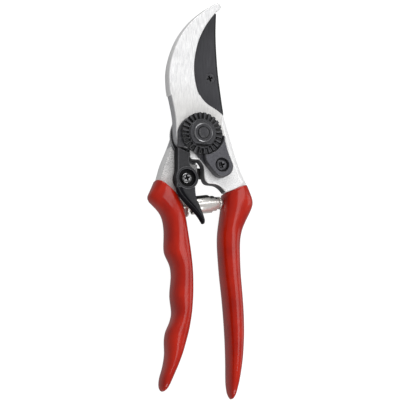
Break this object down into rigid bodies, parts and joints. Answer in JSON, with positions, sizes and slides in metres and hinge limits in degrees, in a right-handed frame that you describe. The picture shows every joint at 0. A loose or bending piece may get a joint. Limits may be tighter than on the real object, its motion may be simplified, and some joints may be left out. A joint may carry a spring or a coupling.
{
  "type": "pruning shears",
  "caption": "Bypass pruning shears with a curved hook, a cutting blade, a toothed pivot nut, a thumb latch, a conical spring and red coated grips.",
  "frame": {"origin": "centre of the pivot bolt head's flat back face", "axes": "+Z along the pivot axis from the bolt head to the nut, +Y along the tool toward the cutting tip, +X to the right seen from the nut's side"},
  "size_m": [0.0582, 0.2127, 0.0244],
  "materials": {
    "forged_aluminium": "forged, ground and polished on the front",
    "blade_steel": "satin dark coating",
    "black_steel": "black oxide",
    "plain_steel": "ground steel",
    "spring_chrome": "bright plated",
    "latch_black": "moulded, fine satin",
    "bumper_rubber": "soft matt",
    "washer_brass": "plain bearing metal",
    "grip_red": "glossy dipped coating"
  },
  "bodies": {
    "blade_lever": {"blade_lever": "forged_aluminium", "blade": "blade_steel", "blade_screw": "black_steel", "blade_grip": "grip_red", "blade_spring_peg": "spring_chrome", "latch_screw": "black_steel", "latch_spacer": "plain_steel", "spring": "spring_chrome"},
    "hook_lever": {"hook_lever": "forged_aluminium", "counter_blade": "plain_steel", "counter_blade_rivets": "plain_steel", "hook_grip": "grip_red", "hook_spring_peg": "spring_chrome", "bumper": "bumper_rubber", "pivot_bolt": "black_steel", "pivot_washer": "washer_brass", "pivot_nut": "black_steel", "stop_plate": "black_steel", "lock_segment": "black_steel", "segment_screw": "black_steel"},
    "thumb_latch": {"thumb_latch": "latch_black"}
  },
  "joints": [
    {"name": "pivot", "type": "hinge", "parent": "blade_lever", "child": "hook_lever", "pos_m": [0, 0, 0.0115], "axis": [0, 0, 1], "range_deg": [0, 28], "deforming": ["spring"]},
    {"name": "latch_turn", "type": "hinge", "parent": "blade_lever", "child": "thumb_latch", "pos_m": [-0.0076, -0.0243, 0.016], "axis": [0, 0, 1], "range_deg": [0, 42]}
  ],
  "couplings": [
    {"joint": "latch_turn", "follows": "pivot", "ratio": 1.5}
  ]
}
